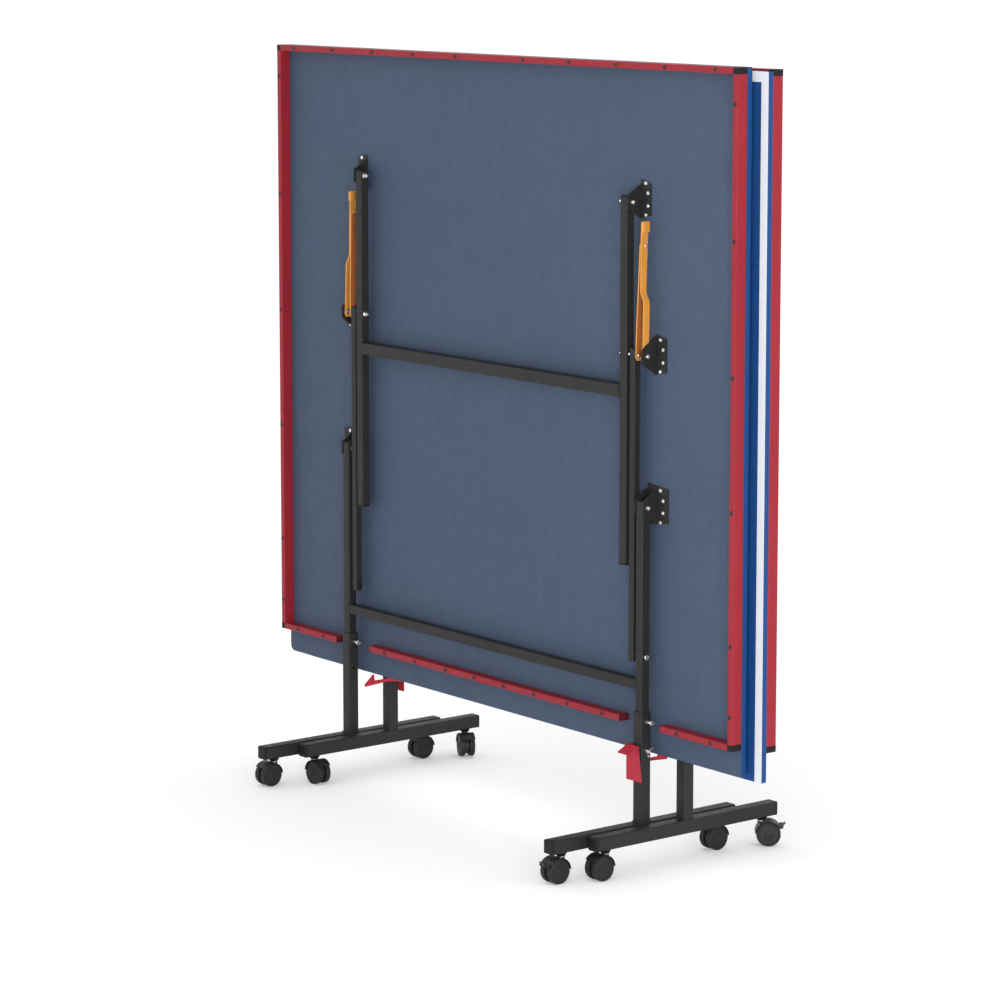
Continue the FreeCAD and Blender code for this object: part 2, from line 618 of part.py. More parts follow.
    # ---- transport latch on the right post: handle outside, one hooked side plate on the bolt that reaches under both
    # boards, its tooth just below the edge of the other board
    z = D.latch_bolt_height
    tooth = z - (D.latch_hook_rear if rear else D.latch_hook_front)
    x = at("R", D.post_inset)
    ha, pv, thick = D.latch_half, pivot, D.latch_sheet
    arm_top = z - (24.5 if rear else 26.0)
    web = plate_x([(pv - 22, z + 11), (pv - 22, z - 40), (pv - 10, z - 36), (pv + 22, z - 31), (pv + 84, z - 35.5),
                   (pv + 85.5, z - 30), (pv + 63, tooth), (pv + 60.5, tooth), (pv + 58.5, arm_top), (pv + 25, arm_top),
                   (pv + 15, z - 15), (pv + 13, z + 2), (pv + 6, z + 11)], x - ha, x - ha + thick,
                  [(pv, z, D.latch_bolt_radius + D.fit_gap)])
    slope = plate_x([(pv - 20, z + 12), (pv - 45, z - 2), (pv - 44, z - 3.8), (pv - 19, z + 10.2)], x - ha, x + 14)
    grip = plate_y([(x - ha, z - 60), (x + 24, z - 60), (x + 14, z + 11), (x - ha, z + 11)], pv - 22, pv - 20)
    keep(fuse([web, slope, grip]), prefix + "latch", rear)

    # ---- casters
    turn = {"front_": {("L", -1): -90, ("L", 1): -90, ("R", -1): -90, ("R", 1): -90},
            "rear_": {("L", -1): 50 - 180, ("L", 1): -90 - 180, ("R", -1): -25 - 180, ("R", 1): 0 - 180}}[prefix]
    names = {("L", -1): "left_near", ("L", 1): "left_far", ("R", -1): "right_near", ("R", 1): "right_far"}
    braked = {("front_", "R", -1), ("rear_", "L", -1)}
    for side in SIDES:
        for sign in (-1, 1):
            x = at(side, D.post_inset)
            y = pivot + D.caster_reach * sign
            spot = Placement(Vector(x.value, y.value, 0), Rotation(Vector(0, 0, 1), turn[(side, sign)]))
            if rear:
                spot = Placement(Vector(0, 0, 0), Rotation(Vector(0, 0, 1), 180)).multiply(spot)
            trail = D.wheel_trail
            centre = D.wheel_radius
            width = D.hood_half

            def across(radius, a, b):
                """cylinder along the wheel axis, in the caster's own frame (stem on its Z axis, trail along +X)"""
                return rod("Y", radius, a, b, trail, centre)

            def sector(radius, halfw, start, sweep):
                o = across(radius, -halfw, halfw)
                o.Angle = sweep
                # zero angle of the turned cylinder points along +X; its angle grows towards -Z
                o.Placement = Placement(o.Placement.Base, Rotation(Vector(0, 1, 0), -(start + sweep)).multiply(TURN["Y"]))
                return o

            hood = sector(D.hood_outer, width, 38, 137)
            boss = rod("Z", 8, 40, 50.5, 0, 0)
            shell = cut(fuse([hood, boss]), [across(D.hood_inner, -width - 2, width + 2)])
            web = cut(fuse([across(20, -D.web_half, D.web_half), sector(27, D.web_half, 40, 133)]),
                      [across(D.axle_radius + D.fit_gap, -10, 10)])
            stem = rod("Z", D.stem_radius, 48, 82, 0, 0)
            ring = rod("Z", 8, 50, 52.7, 0, 0)
            parts = [shell, web, stem, ring]
            lever_spot = (side, sign)
            has_brake = (prefix, side, sign) in braked
            if has_brake:
                # two lugs and a pin on the hood, at the end away from the stem
                for a, b in ((-11.5, -9), (9, 11.5)):
                    parts.append(cut(rod("Y", 5, a, b, trail + 26.0, centre + 15), [across(D.hood_inner, -20, 20)]))
                parts.append(rod("Y", 1.5, -11.5, 11.5, trail + 26.0, centre + 15))
            base = prefix + names[lever_spot]
            body = fuse(parts)
            body.Placement = spot
            body.Label = base + "_caster"
            NODES.append(body)
            left_wheel = across(D.wheel_radius, -(D.wheel_inner + D.wheel_wide), -D.wheel_inner)
            right_wheel = across(D.wheel_radius, D.wheel_inner, D.wheel_inner + D.wheel_wide)
            doc.recompute()
            soft_wheels = []
            for wheel in (left_wheel, right_wheel):
                o = doc.addObject("Part::Fillet", fresh("Soft"))
                o.Base = wheel
                rims = [n + 1 for n, e in enumerate(wheel.Shape.Edges) if isinstance(e.Curve, Part.Circle)]
                o.Edges = [(n, 2.0, 2.0) for n in rims]
                soft_wheels.append(o)
            axle = across(D.axle_radius, -D.wheel_inner - 2, D.wheel_inner + 2)
            pair = fuse(soft_wheels + [axle])
            pair.Placement = spot
            pair.Label = base + "_wheels"
            NODES.append(pair)
            if has_brake:
                hub = rod("Y", 3, -8, 8, trail + 26.0, centre + 15)
                blade = plate_x([(-6.5, -1.2), (6.5, -1.2), (6.5, 1.2), (-6.5, 1.2)], 1, 9)
                blade.Placement = Placement(Vector(VALUE["wheel_trail"] + 26.0, 0, VALUE["wheel_radius"] + 15),
                                            Rotation(Vector(0, 1, 0), -25))
                lever = cut(fuse([hub, blade]), [rod("Y", 1.55, -12, 12, trail + 26.0, centre + 15)])
                lever.Placement = spot
                lever.Label = base + "_brake_lever"
                NODES.append(lever)


half("front_", False)
half("rear_", True)
doc.recompute()

# ---------------------------------------------------------------- check and write
bad = []
for obj in doc.Objects:
    if any(word in str(state) for state in obj.State for word in ("Invalid", "Error")):
        bad.append(obj.Label + " " + str(obj.State))
for node in NODES:
    if node.Shape.isNull() or not node.Shape.isValid():
        bad.append(node.Label + " shape")
if bad:
    raise RuntimeError("failed objects: " + "; ".join(bad))
for node in NODES:
    node.Shape.exportStep("parts/%s.step" % node.Label)
    print("%-34s solids %3d  volume %12.1f" % (node.Label, len(node.Shape.Solids), node.Shape.Volume))
print(len(NODES), "nodes")
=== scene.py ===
import math
import bpy
import bmesh
from mathutils import Matrix, Vector


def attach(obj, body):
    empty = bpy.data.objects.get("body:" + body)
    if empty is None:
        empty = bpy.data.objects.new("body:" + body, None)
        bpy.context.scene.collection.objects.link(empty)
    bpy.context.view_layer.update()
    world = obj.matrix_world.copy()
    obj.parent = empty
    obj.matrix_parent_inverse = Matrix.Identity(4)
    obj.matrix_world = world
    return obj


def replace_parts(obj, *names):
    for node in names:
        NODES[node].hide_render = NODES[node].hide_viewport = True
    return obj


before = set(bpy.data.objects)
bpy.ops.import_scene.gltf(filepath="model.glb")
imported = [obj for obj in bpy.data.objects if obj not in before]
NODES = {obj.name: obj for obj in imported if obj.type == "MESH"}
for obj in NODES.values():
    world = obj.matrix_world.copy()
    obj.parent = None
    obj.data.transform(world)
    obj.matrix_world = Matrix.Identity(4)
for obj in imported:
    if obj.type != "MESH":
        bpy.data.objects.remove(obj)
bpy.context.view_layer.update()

MM = 0.001
scene = bpy.context.scene

# ---------------------------------------------------------------- main sizes, millimetres, front half
LEFT, RIGHT = -781.0, 744.0
UNDER, FACE = -16.0, -4.0
PIV = -41.0
Z_NET, Z_TOP = 225.0, 1595.0
Z_D, Z_C, Z_B, Z_A = 423.0, 723.0, 1023.0, 1323.0
POST_S = 266.0
HALVES = (("front_", Matrix.Identity(4), 0.0, 0.0), ("rear_", Matrix.Rotation(math.pi, 4, "Z"), 8.0, 4.0))


def at(side, s):
    return LEFT + s if side == "L" else RIGHT - s


# ---------------------------------------------------------------- materials
def srgb(r, g, b):
    out = []
    for c in (r, g, b):
        c /= 255.0
        out.append(c / 12.92 if c <= 0.04045 else ((c + 0.055) / 1.055) ** 2.4)
    return tuple(out) + (1.0,)


class Net:
    """Small helper for node trees."""

    def __init__(self, name):
        self.mat = bpy.data.materials.new(name)
        self.mat.use_nodes = True
        self.tree = self.mat.node_tree
        self.tree.nodes.clear()
        self.out = self.add("ShaderNodeOutputMaterial")
        self.bsdf = self.add("ShaderNodeBsdfPrincipled")
        self.link(self.bsdf.outputs[0], self.out.inputs[0])
        self.coord = self.add("ShaderNodeTexCoord")

    def add(self, kind, **props):
        n = self.tree.nodes.new(kind)
        for k, v in props.items():
            setattr(n, k, v)
        return n

    def link(self, a, b):
        self.tree.links.new(a, b)

    def noise(self, scale, detail=4.0, rough=0.55, stretch=None):
        n = self.add("ShaderNodeTexNoise")
        n.inputs["Scale"].default_value = scale
        n.inputs["Detail"].default_value = detail
        n.inputs["Roughness"].default_value = rough
        src = self.coord.outputs["Object"]
        if stretch:
            m = self.add("ShaderNodeMapping")
            m.inputs["Scale"].default_value = stretch
            self.link(src, m.inputs["Vector"])
            src = m.outputs["Vector"]
        self.link(src, n.inputs["Vector"])
        return n.outputs["Fac"]

    def math(self, op, a, b=None, clamp=False):
        n = self.add("ShaderNodeMath", operation=op, use_clamp=clamp)
        for i, v in enumerate((a, b)):
            if v is None:
                continue
            if isinstance(v, (int, float)):
                n.inputs[i].default_value = v
            else:
                self.link(v, n.inputs[i])
        return n.outputs[0]

    def remap(self, value, lo, hi, a, b):
        n = self.add("ShaderNodeMapRange")
        self.link(value, n.inputs[0])
        for i, v in zip((1, 2, 3, 4), (lo, hi, a, b)):
            n.inputs[i].default_value = v
        return n.outputs[0]

    def mix(self, fac, a, b, mode="MIX"):
        n = self.add("ShaderNodeMix", data_type="RGBA", blend_type=mode)
        if isinstance(fac, (int, float)):
            n.inputs[0].default_value = fac
        else:
            self.link(fac, n.inputs[0])
        for i, v in ((6, a), (7, b)):
            if isinstance(v, tuple):
                n.inputs[i].default_value = v
            else:
                self.link(v, n.inputs[i])
        return n.outputs[2]

    def bump(self, height, strength, distance=0.001, normal=None):
        n = self.add("ShaderNodeBump")
        n.inputs["Strength"].default_value = strength
        n.inputs["Distance"].default_value = distance
        self.link(height, n.inputs["Height"])
        if normal is not None:
            self.link(normal, n.inputs["Normal"])
        return n.outputs[0]


def shade(c, k):
    return (min(c[0] * k, 1), min(c[1] * k, 1), min(c[2] * k, 1), 1.0)


def coated(name, colour, rough, spread=0.10, grain=900.0, bump=0.12, mottle=6.0, vary=0.10, metallic=0.0, spec=0.5, coat=0.0, dust=0.0,
           stretch=None):
    """Painted or moulded surface: soft colour drift, fine grain in the bump and the gloss, faint scuffs."""
    n = Net(name)
    big = n.noise(mottle, 3.0)
    fine = n.noise(grain, 2.0, 0.6, stretch)
    scuff = n.noise(55.0, 6.0, 0.7)
    col = n.mix(n.remap(big, 0.3, 0.7, 0.0, 1.0), shade(colour, 1.0 - vary), shade(colour, 1.0 + vary))
    col = n.mix(n.remap(fine, 0.35, 0.65, 0.0, 0.25), col, shade(colour, 0.75))
    if dust:
        col = n.mix(n.remap(scuff, 0.60, 0.80, 0.0, dust), col, (0.35, 0.34, 0.33, 1.0))
    n.link(col, n.bsdf.inputs["Base Color"])
    r = n.math("ADD", n.remap(scuff, 0.3, 0.7, rough - spread, rough + spread), n.remap(fine, 0.3, 0.7, -0.03, 0.03), True)
    n.link(r, n.bsdf.inputs["Roughness"])
    n.link(n.bump(n.math("ADD", fine, n.math("MULTIPLY", scuff, 0.4)), bump, 0.0004), n.bsdf.inputs["Normal"])
    n.bsdf.inputs["Metallic"].default_value = metallic
    n.bsdf.inputs["Specular IOR Level"].default_value = spec
    if coat:
        n.bsdf.inputs["Coat Weight"].default_value = coat
        n.bsdf.inputs["Coat Roughness"].default_value = 0.18
    return n.mat


def board_material(name, centre, top):
    """Painted board: grey-blue underside, blue playing side and edges, white border and centre line."""
    n = Net(name)
    sep = n.add("ShaderNodeSeparateXYZ")
    n.link(n.coord.outputs["Object"], sep.inputs[0])
    X, Y, Z = sep.outputs
    dx = n.math("ABSOLUTE", n.math("SUBTRACT", X, centre))
    depth = n.math("ABSOLUTE", Y)
    playing = n.math("LESS_THAN", depth, 0.00402)
    under = n.math("GREATER_THAN", depth, 0.0154)
    side_line = n.math("GREATER_THAN", dx, 0.7625 - 0.020)
    end_line = n.math("GREATER_THAN", Z, top - 0.020)
    mid_line = n.math("LESS_THAN", dx, 0.0015)
    lines = n.math("MULTIPLY", n.math("MAXIMUM", n.math("MAXIMUM", side_line, end_line), mid_line), playing)
    cloud = n.noise(2.2, 4.0, 0.6)
    mottle = n.noise(38.0, 5.0, 0.65)
    grain = n.noise(1400.0, 2.0, 0.6)
    streak = n.noise(30.0, 3.0, 0.5, (6.0, 1.0, 0.25))
    grey = srgb(59, 72, 92)
    blue = srgb(16, 58, 110)
    white = srgb(198, 202, 208)
    low = n.mix(n.remap(cloud, 0.3, 0.7, 0.0, 1.0), shade(grey, 0.94), shade(grey, 1.05))
    low = n.mix(n.remap(mottle, 0.35, 0.68, 0.0, 0.35), low, shade(grey, 0.82))
    low = n.mix(n.remap(streak, 0.40, 0.70, 0.0, 0.16), low, srgb(72, 84, 103))
    upper = n.mix(n.remap(mottle, 0.3, 0.7, 0.0, 0.5), shade(blue, 1.06), shade(blue, 0.88))
    paint = n.mix(n.remap(mottle, 0.35, 0.7, 0.0, 0.2), white, shade(white, 0.90))
    col = n.mix(under, upper, low)
    col = n.mix(lines, col, paint)
    n.link(col, n.bsdf.inputs["Base Color"])
    rough = n.math("ADD", n.remap(mottle, 0.3, 0.7, 0.46, 0.60), n.math("MULTIPLY", under, 0.12), True)
    n.link(rough, n.bsdf.inputs["Roughness"])
    height = n.math("ADD", n.math("MULTIPLY", grain, 0.7), n.math("MULTIPLY", mottle, 0.5))
    height = n.math("ADD", height, n.math("MULTIPLY", lines, 0.35))
    n.link(n.bump(height, 0.14, 0.0004), n.bsdf.inputs["Normal"])
    n.bsdf.inputs["Specular IOR Level"].default_value = 0.25
    return n.mat


M = {
    "front_board": board_material("board_front", -0.0185, 1.595),
    "rear_board": board_material("board_rear", 0.0185, 1.587),
    "red": coated("red_enamel", srgb(136, 30, 41), 0.46, 0.08, 1100.0, 0.10, 5.0, 0.07, spec=0.2, coat=0.03),
    "latch": coated("red_enamel_latch", srgb(160, 34, 50), 0.46, 0.08, 900.0, 0.14, 14.0, 0.08, spec=0.22, coat=0.03),
    "black": coated("black_powder_coat", srgb(35, 35, 35), 0.50, 0.09, 1300.0, 0.30, 4.0, 0.14, spec=0.2, dust=0.025),
    "cap": coated("black_moulded_caps", srgb(20, 20, 22), 0.54, 0.10, 1600.0, 0.25, 20.0, 0.12, spec=0.2, dust=0.02),
    "screw": coated("black_oxide_screws", srgb(22, 20, 22), 0.38, 0.10, 2500.0, 0.20, 60.0, 0.20, spec=0.5),
    "zinc": coated("zinc_plating", srgb(222, 222, 218), 0.30, 0.10, 1500.0, 0.12, 80.0, 0.12, metallic=1.0),
    "orange": coated("orange_enamel", srgb(198, 134, 52), 0.38, 0.08, 900.0, 0.12, 18.0, 0.08, spec=0.4, coat=0.1),
    # painted shade: a darker, duller copy of the orange enamel that stands in for the shade inside the lower stay links
    "orange_painted_shade": coated("orange_enamel_painted_shade", srgb(150, 86, 44), 0.55, 0.10, 700.0, 0.20, 26.0, 0.16, spec=0.25),
    "caster": coated("caster_housing", srgb(24, 25, 27), 0.46, 0.10, 1800.0, 0.22, 40.0, 0.14, spec=0.32, dust=0.04),
    "wheel": coated("caster_wheel", srgb(25, 26, 28), 0.54, 0.10, 1500.0, 0.35, 30.0, 0.16, spec=0.28, dust=0.06),
}


def rail_cap_material_with_painted_shade(name, centre):
    """Black corner caps; the plug ends of the net rails by the posts are coloured a darkened red: the red tube's colour
    with painted shade of the tube end.
    """
    mat = M["cap"].copy()
    mat.name = name
    tree = mat.node_tree
    bsdf = next(n for n in tree.nodes if n.type == "BSDF_PRINCIPLED")
    old = bsdf.inputs["Base Color"].links[0].from_socket
    coord = next(n for n in tree.nodes if n.type == "TEX_COORD")
    sep = tree.nodes.new("ShaderNodeSeparateXYZ")
    tree.links.new(coord.outputs["Object"], sep.inputs[0])
    a = tree.nodes.new("ShaderNodeMath")
    a.operation = "SUBTRACT"
    tree.links.new(sep.outputs[0], a.inputs[0])
    a.inputs[1].default_value = centre
    b = tree.nodes.new("ShaderNodeMath")
    b.operation = "ABSOLUTE"
    tree.links.new(a.outputs[0], b.inputs[0])
    c = tree.nodes.new("ShaderNodeMath")
    c.operation = "LESS_THAN"
    tree.links.new(b.outputs[0], c.inputs[0])
    c.inputs[1].default_value = 0.65
    mix = tree.nodes.new("ShaderNodeMix")
    mix.data_type = "RGBA"
    tree.links.new(c.outputs[0], mix.inputs[0])
    tree.links.new(old, mix.inputs[6])
    # darkened red on the plug ends by the posts: the red tube's colour with painted shade
    mix.inputs[7].default_value = srgb(84, 22, 30)
    tree.links.new(mix.outputs[2], bsdf.inputs["Base Color"])
    return mat


M["front_caps"] = rail_cap_material_with_painted_shade("rail_caps_front_painted_shade", -0.0185)
M["rear_caps"] = rail_cap_material_with_painted_shade("rail_caps_rear_painted_shade", 0.0185)


def paint_node(node):
    if node.endswith("rail_caps"):
        return M["front_caps"] if node.startswith("front") else M["rear_caps"]
    if node.endswith("tabletop"):
        return M["front_board"] if node.startswith("front") else M["rear_board"]
    for words, key in ((("rail_caps", "foot_bar_fittings", "leg_plugs"), "cap"), (("rail_screws",), "screw"), (("_rails",), "red"),
                       (("_latch",), "latch"), (("bracket_screws", "_bolts"), "zinc"), (("stay_upper", "stay_lower"), "orange"),
                       (("_wheels",), "wheel"), (("_caster", "brake_lever"), "caster")):
        if any(w in node for w in words):
            return M[key]
    return M["black"]


BEVEL = {"tabletop": 0.0003, "rails": 0.0003, "brackets": 0.0005, "_latch": 0.0005, "foot_bar_fittings": 0.0004}
for name, obj in NODES.items():
    mat = paint_node(name)
    obj.data.materials.clear()
    obj.data.materials.append(mat)
    if name.endswith(("_screws", "_bolts", "_wheels", "_rails")):
        continue
    width = 0.0004
    for word, size in BEVEL.items():
        if word in name:
            width = size
    obj.data.polygons.foreach_set("use_smooth", [True] * len(obj.data.polygons))
    if "custom_normal" in obj.data.attributes:
        obj.data.attributes.remove(obj.data.attributes["custom_normal"])
    weld = obj.modifiers.new("weld", "WELD")
    weld.merge_threshold = 0.00002
    flat = obj.modifiers.new("flat", "DECIMATE")
    flat.decimate_type = "DISSOLVE"
    flat.angle_limit = math.radians(0.8)
    bevel = obj.modifiers.new("edge", "BEVEL")
    bevel.width = width
    bevel.segments = 2
    bevel.limit_method = "ANGLE"
    bevel.angle_limit = math.radians(38)
    bevel.harden_normals = True


# ---------------------------------------------------------------- mesh helpers (millimetres in, metres out)
class Shape:
    """Collects vertices and faces of one piece."""

    def __init__(self):
        self.verts, self.faces = [], []

    def add(self, verts, faces, matrix=None):
        base = len(self.verts)
        for v in verts:
            v = Vector(v)
            self.verts.append(matrix @ v if matrix is not None else v)
        self.faces += [tuple(base + i for i in f) for f in faces]

    def piece(self, name, material, body, half=None, angle=32.0, bevel=0.0, subdiv=0):
        me = bpy.data.meshes.new(name)
        verts = [(half @ v if half is not None else v) * MM for v in self.verts]
        me.from_pydata([tuple(v) for v in verts], [], self.faces)
        bm = bmesh.new()
        bm.from_mesh(me)
        bmesh.ops.remove_doubles(bm, verts=bm.verts, dist=1e-6)
        bmesh.ops.recalc_face_normals(bm, faces=bm.faces)
        bm.to_mesh(me)
        bm.free()
        me.polygons.foreach_set("use_smooth", [True] * len(me.polygons))
        me.set_sharp_from_angle(angle=math.radians(angle))
        me.materials.append(M[material])
        ob = bpy.data.objects.new(name, me)
        scene.collection.objects.link(ob)
        if bevel:
            b = ob.modifiers.new("edge", "BEVEL")
            b.width, b.segments, b.limit_method, b.angle_limit, b.harden_normals = bevel * MM, 2, "ANGLE", math.radians(35), True
        if subdiv:
            s = ob.modifiers.new("sub", "SUBSURF")
            s.levels = s.render_levels = subdiv
        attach(ob, body)
        return ob


def aim(origin, axis, roll=0.0):
    """Matrix that takes +Z to an axis ("X", "-Y" ...) at a point."""
    sign = -1.0 if axis.startswith("-") else 1.0
    z = {"X": Vector((1, 0, 0)), "Y": Vector((0, 1, 0)), "Z": Vector((0, 0, 1))}[axis[-1]] * sign
    return Matrix.Translation(Vector(origin)) @ z.to_track_quat("Z", "Y").to_matrix().to_4x4() @ Matrix.Rotation(roll, 4, "Z")


def lathe(profile, seg=24):
    """Surface of revolution about +Z from (radius, height) pairs; a radius of 0 closes it."""
    verts, faces, rows = [], [], []
    for r, h in profile:
        if r <= 1e-6:
            verts.append((0, 0, h))
            rows.append([len(verts) - 1])
        else:
            start = len(verts)
            for i in range(seg):
                a = 2 * math.pi * i / seg
                verts.append((r * math.cos(a), r * math.sin(a), h))
            rows.append(list(range(start, start + seg)))
    for a, b in zip(rows, rows[1:]):
        for i in range(seg):
            j = (i + 1) % seg
            if len(a) == 1 and len(b) == 1:
                continue
            if len(a) == 1:
                faces.append((a[0], b[j], b[i]))
            elif len(b) == 1:
                faces.append((a[i], a[j], b[0]))
            else:
                faces.append((a[i], a[j], b[j], b[i]))
    return verts, faces


def prism(outline, h0, h1):
    n = len(outline)
    verts = [(x, y, h0) for x, y in outline] + [(x, y, h1) for x, y in outline]
    faces = [tuple(range(n - 1, -1, -1)), tuple(range(n, 2 * n))]
    faces += [(i, (i + 1) % n, n + (i + 1) % n, n + i) for i in range(n)]
    return verts, faces


def hexnut(r, h0, h1, chamfer=0.8, top=True, bottom=False):
    """Hexagonal head: hexagon with a turned chamfer."""
    def ring(rad, h, k=1.0):
        pts = []
        for i in range(24):
            a = 2 * math.pi * i / 24
            q = (a % (math.pi / 3)) - math.pi / 6
            hexr = r * math.cos(math.pi / 6) / math.cos(q)
            pts.append((min(hexr, rad) * math.cos(a), min(hexr, rad) * math.sin(a), h))
        return pts
    rings = []
    if bottom:
        rings += [ring(r * 0.88, h0), ring(r * 1.01, h0 + chamfer)]
    else:
        rings += [ring(r * 1.01, h0)]
    if top:
        rings += [ring(r * 1.01, h1 - chamfer), ring(r * 0.88, h1)]
    else:
        rings += [ring(r * 1.01, h1)]
    verts = [p for rg in rings for p in rg]
    faces = [tuple(range(23, -1, -1)), tuple(range(24 * (len(rings) - 1), 24 * len(rings)))]
    for k in range(len(rings) - 1):
        for i in range(24):
            j = (i + 1) % 24
            faces.append((24 * k + i, 24 * k + j, 24 * (k + 1) + j, 24 * (k + 1) + i))
    return verts, faces


def pan_head(r, h, recess=1.3, depth=1.0):
    """Domed screw head on z = 0 with a round recess."""
    prof = [(0, h - depth), (recess * 0.55, h - depth), (recess, h - depth * 0.9), (recess, h), (r * 0.62, h * 0.97), (r * 0.86, h * 0.78),
            (r, h * 0.38), (r, 0), (0, 0)]
    return lathe(prof, 20)


def threaded(r, h0, h1, pitch=1.25, depth=0.45):
    """Screw thread as fine ridges with a chamfered end."""
    prof = [(0, h0), (r - depth, h0)]
    z = h0 + 0.4
    while z + pitch < h1 - 0.8:
        prof += [(r, z + pitch * 0.35), (r, z + pitch * 0.5), (r - depth, z + pitch)]
        z += pitch
    prof += [(r - depth, h1 - 0.6), (r - depth - 0.5, h1), (0, h1)]
    return lathe(prof, 20)


def washer(r, h0, h1):
    return lathe([(0, h0), (r - 0.3, h0), (r, h0 + 0.3), (r, h1 - 0.3), (r - 0.3, h1), (0, h1)], 24)


# ---------------------------------------------------------------- fasteners
for prefix, H, drop, rail_drop in HALVES:
    board_body = prefix + "board"
    carriage = "carriage" if prefix == "front_" else "rear_carriage"
    rlow, rtop = Z_NET + 54 - rail_drop, Z_TOP - rail_drop

    heads = Shape()
    spots = []
    for side in "LR":
        spots += [(at(side, s), rlow + 6.5) for s in (62, 162, 392, 502, 612, 712)]
        spots += [(at(side, s), rtop - 6.5) for s in (64, 210, 356, 502, 650)]
        spots += [(at(side, 6.5), rtop - d) for d in (70, 330, 590, 850, 1110, 1250)]
    for k, (x, z) in enumerate(spots):
        heads.add(*pan_head(4.3, 2.3), matrix=aim((x, UNDER - 25.0, z), "-Y", k * 0.7))
    ob = heads.piece(prefix + "rail_screw_heads", "screw", board_body, H)
    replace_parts(ob, prefix + "rail_screws")

    heads = Shape()
    rims = Shape()
    for side in "LR":
        rows = [(289, Z_A + 36), (283, Z_A + 17), (283, Z_A - 8), (289, Z_A - 26),
                (243, Z_B + 32), (235, Z_B + 13), (235, Z_B - 12), (243, Z_B - 30.5),
                (240, Z_C + 33.6), (232, Z_C + 14), (232, Z_C - 10), (240, Z_C - 30)]
        for k, (s, z) in enumerate(rows):
            heads.add(*pan_head(4.3, 2.4, 1.5, 1.2), matrix=aim((at(side, s), UNDER - 2.5, z), "-Y", k * 1.1))
    ob = heads.piece(prefix + "bracket_screw_heads", "zinc", board_body, H)
    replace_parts(ob, prefix + "bracket_screws")

    # bolts on the board: "out" is the outboard direction of a side
    bolts = Shape()
    pins = Shape()
    legs_ends = Shape()
    spacers_leg, spacers_post = Shape(), Shape()
    for side in "LR":
        out = "-X" if side == "L" else "X"
        inn = "X" if side == "L" else "-X"

        def here(s, z):
            return (at(side, s), PIV, z)

        # post pivot
        bolts.add(*hexnut(5.4, 0, 3.6), matrix=aim(here(253, Z_C), out, 0.3))
        bolts.add(*threaded(2.9, 3.4, 7.0), matrix=aim(here(253, Z_C), out))
        bolts.add(*threaded(3.2, 0, 32), matrix=aim(here(251, Z_C), inn))
        bolts.add(*hexnut(5.4, 0, 3.4, top=True), matrix=aim(here(279, Z_C), inn, 0.5))
        # leg pivot
        bolts.add(*threaded(3.0, 0, 42), matrix=aim(here(299, Z_A), inn))
        bolts.add(*hexnut(5.4, 0, 4.0), matrix=aim(here(304, Z_A), out, 0.2))
        bolts.add(*threaded(2.9, 3.8, 7.6), matrix=aim(here(304, Z_A), out))
        bolts.add(*washer(6.0, 0, 1.2), matrix=aim(here(329.2, Z_A), inn))
        bolts.add(*hexnut(5.2, 1.2, 5.2), matrix=aim(here(329.2, Z_A), inn, 0.9))
        # stay pivot
        bolts.add(*threaded(3.2, 0, 12), matrix=aim(here(254.5, Z_B), inn))
        bolts.add(*hexnut(5.4, 0, 3.6), matrix=aim(here(257.5, Z_B), out, 0.7))
        bolts.add(*threaded(2.9, 3.4, 6.6), matrix=aim(here(257.5, Z_B), out))
        bolts.add(*washer(5.8, 0, 0.9), matrix=aim(here(260.1, Z_B), inn))
        bolts.add(*washer(5.8, 0, 1.2), matrix=aim(here(264.6, Z_B), inn))
        # leg to link rod
        legs_ends.add(*threaded(3.2, 0, 60), matrix=aim(here(278.6, Z_B), inn))
        legs_ends.add(*lathe([(0, 1.6), (3.4, 1.5), (4.2, 0.8), (4.4, 0), (0, 0)], 20), matrix=aim(here(280.9, Z_B), out))
        spacers_leg.add(*washer(6.0, 0, 1.2), matrix=aim(here(301.8, Z_B), inn))
        legs_ends.add(*washer(6.0, 0, 1.2), matrix=aim(here(329.1, Z_B), inn))
        legs_ends.add(*hexnut(5.2, 1.2, 5.2), matrix=aim(here(329.1, Z_B), inn, 0.4))
        # link rod on the post
        pins.add(*threaded(3.2, 0, 50), matrix=aim(here(252.5, Z_D), inn))
        pins.add(*lathe([(0, 2.2), (2.0, 2.2), (2.4, 3.2), (4.8, 3.0), (5.6, 2.2), (5.6, 0), (0, 0)], 24), matrix=aim(here(253.6, Z_D), out))
        spacers_post.add(*washer(5.6, 0, 6.6), matrix=aim(here(278.7, Z_D), inn))
        spacers_post.add(*hexnut(5.4, 0, 3.8), matrix=aim(here(301.6, Z_D), inn, 0.6))
        # sleeve clamp bolt: nut on one side, plain shank with a small head standing off the other, towards +X of the half
        x = at(side, POST_S)
        pins.add(*hexnut(6.2, 0, 4.2), matrix=aim((x - 12.6, PIV, 293), "-X", 0.3))
        pins.add(*lathe([(0, 0), (3.9, 0), (3.9, 17.0), (5.0, 17.2), (5.6, 17.9), (5.6, 20.2), (5.0, 21.0), (2.6, 21.2), (2.2, 20.4), (0, 20.3)], 24),
                 matrix=aim((x + 12.4, PIV, 293), "X"))
        if side == "R":
